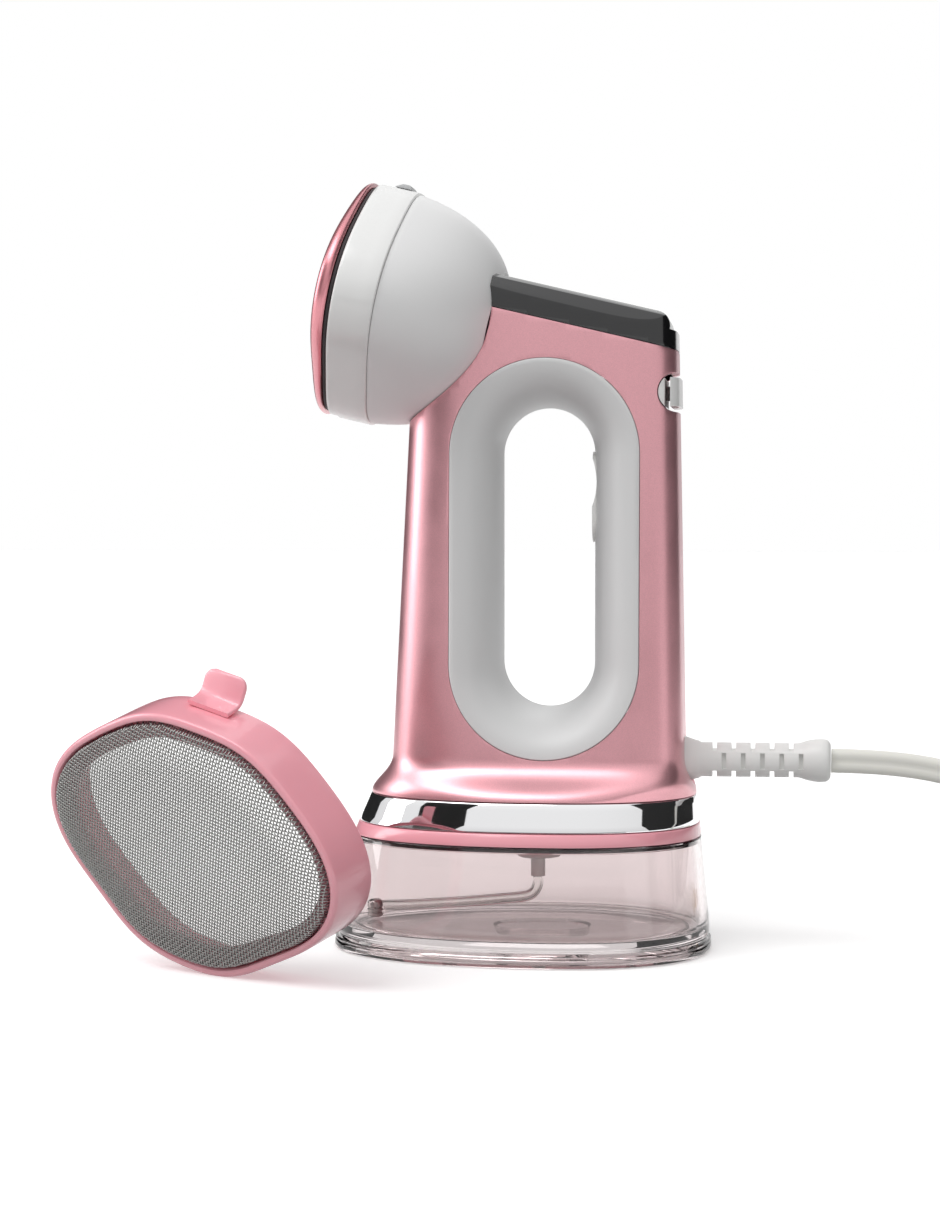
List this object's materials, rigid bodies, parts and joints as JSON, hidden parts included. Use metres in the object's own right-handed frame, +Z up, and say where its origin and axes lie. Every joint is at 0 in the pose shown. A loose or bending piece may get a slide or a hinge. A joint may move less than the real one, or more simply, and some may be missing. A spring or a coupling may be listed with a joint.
{
  "type": "garment steamer",
  "caption": "Hand-held garment steamer with a loop handle, rounded steam head, clear water tank as its foot, a loose mesh fabric guard and a coiled mains lead.",
  "frame": {"origin": "on the floor, in the middle of the tank's foot pad, in the handle's middle plane", "axes": "+Z up; -X the way the steam head faces; +X the way the mains lead leaves; the loose guard lies on the -Y side"},
  "size_m": [0.4592, 0.2062, 0.2541],
  "materials": {
    "rose_metal": "pearl metallic rose paint",
    "rose_plate": "metallic rose coating",
    "rose_gloss": "gloss",
    "white": "gloss",
    "white_satin": "satin",
    "black": "gloss",
    "rubber": "matt",
    "chrome": "mirror",
    "clear": "clear, rose tinted",
    "clear_tube": "clear silicone",
    "steel": "plain",
    "aluminium": "as cast",
    "copper": "enamelled wire winding",
    "brass": "plain",
    "board": "solder resist",
    "grey": "moulded",
    "cord": "soft satin",
    "mesh": "woven wire"
  },
  "bodies": {
    "tank": {"tank_shell": "clear", "cord_coil": "cord", "coil_tie": "black", "plug_body": "cord", "plug_blade_near": "brass", "plug_blade_far": "brass"},
    "trigger": {"steam_trigger": "white"},
    "power_button": {"rear_button": "white"},
    "release": {"tank_release": "rose_gloss"},
    "guard": {"guard_frame": "rose_gloss", "guard_mesh": "mesh", "guard_ring": "rose_gloss"},
    "guard_tab": {"guard_tab": "rose_gloss"},
    "housing": {"body_shell_near": "rose_metal", "body_shell_far": "rose_metal", "soleplate": "rose_plate", "base_pan": "rose_gloss", "head_collar": "white", "rear_bezel": "white", "strain_relief": "white", "inlet_boss": "white", "lead_neutral": "white", "head_dome": "white_satin", "grip_liner_near": "white_satin", "grip_liner_far": "white_satin", "top_cover": "black", "trigger_switch": "black", "power_switch": "black", "lead_line": "black", "head_gasket": "rubber", "tank_seal": "rubber", "chrome_band": "chrome", "dip_tube": "clear_tube", "inlet_hose": "clear_tube", "pump_hose": "clear_tube", "heater_cover": "steel", "thermostat": "steel", "heater_screw_1": "steel", "heater_screw_2": "steel", "heater_screw_3": "steel", "heater_screw_4": "steel", "base_screw_1": "steel", "base_screw_2": "steel", "base_screw_3": "steel", "base_screw_4": "steel", "intake_filter": "steel", "release_spring": "steel", "trigger_spring": "steel", "rear_button_spring": "steel", "heater_block": "aluminium", "pump_coil": "copper", "thermal_fuse": "brass", "circuit_board": "board", "guard_catch": "grey", "tube_sleeve": "grey", "release_seat": "grey", "pump_body": "grey", "cord_clamp": "grey", "cord_tube": "cord"}
  },
  "joints": [
    {"name": "housing_lift", "type": "slide", "parent": "tank", "child": "housing", "axis": [0, 0, 1], "range_m": [0, 0.06]},
    {"name": "trigger_pull", "type": "slide", "parent": "housing", "child": "trigger", "axis": [1, 0, 0], "range_m": [0, 0.0025], "stiffness_N_per_m": 800, "springref_m": -0.002, "deforming": ["trigger_spring"]},
    {"name": "button_press", "type": "slide", "parent": "housing", "child": "power_button", "axis": [-1, 0, 0], "range_m": [0, 0.0015], "stiffness_N_per_m": 800, "springref_m": -0.001, "deforming": ["rear_button_spring"]},
    {"name": "release_press", "type": "slide", "parent": "housing", "child": "release", "axis": [0, -1, 0], "range_m": [0, 0.002], "stiffness_N_per_m": 1000, "springref_m": -0.001, "deforming": ["release_spring"]},
    {"name": "guard_slide", "type": "slide", "parent": "tank", "child": "guard", "axis": [-0.4571, -0.8894, 0], "range_m": [0, 0.05]},
    {"name": "tab_flex", "type": "hinge", "parent": "guard", "child": "guard_tab", "pos_m": [-0.08717, -0.07942, 0.08346], "axis": [0.8861, -0.389, -0.252], "range_deg": [0, 8], "stiffness_Nm_per_rad": 0.6}
  ]
}
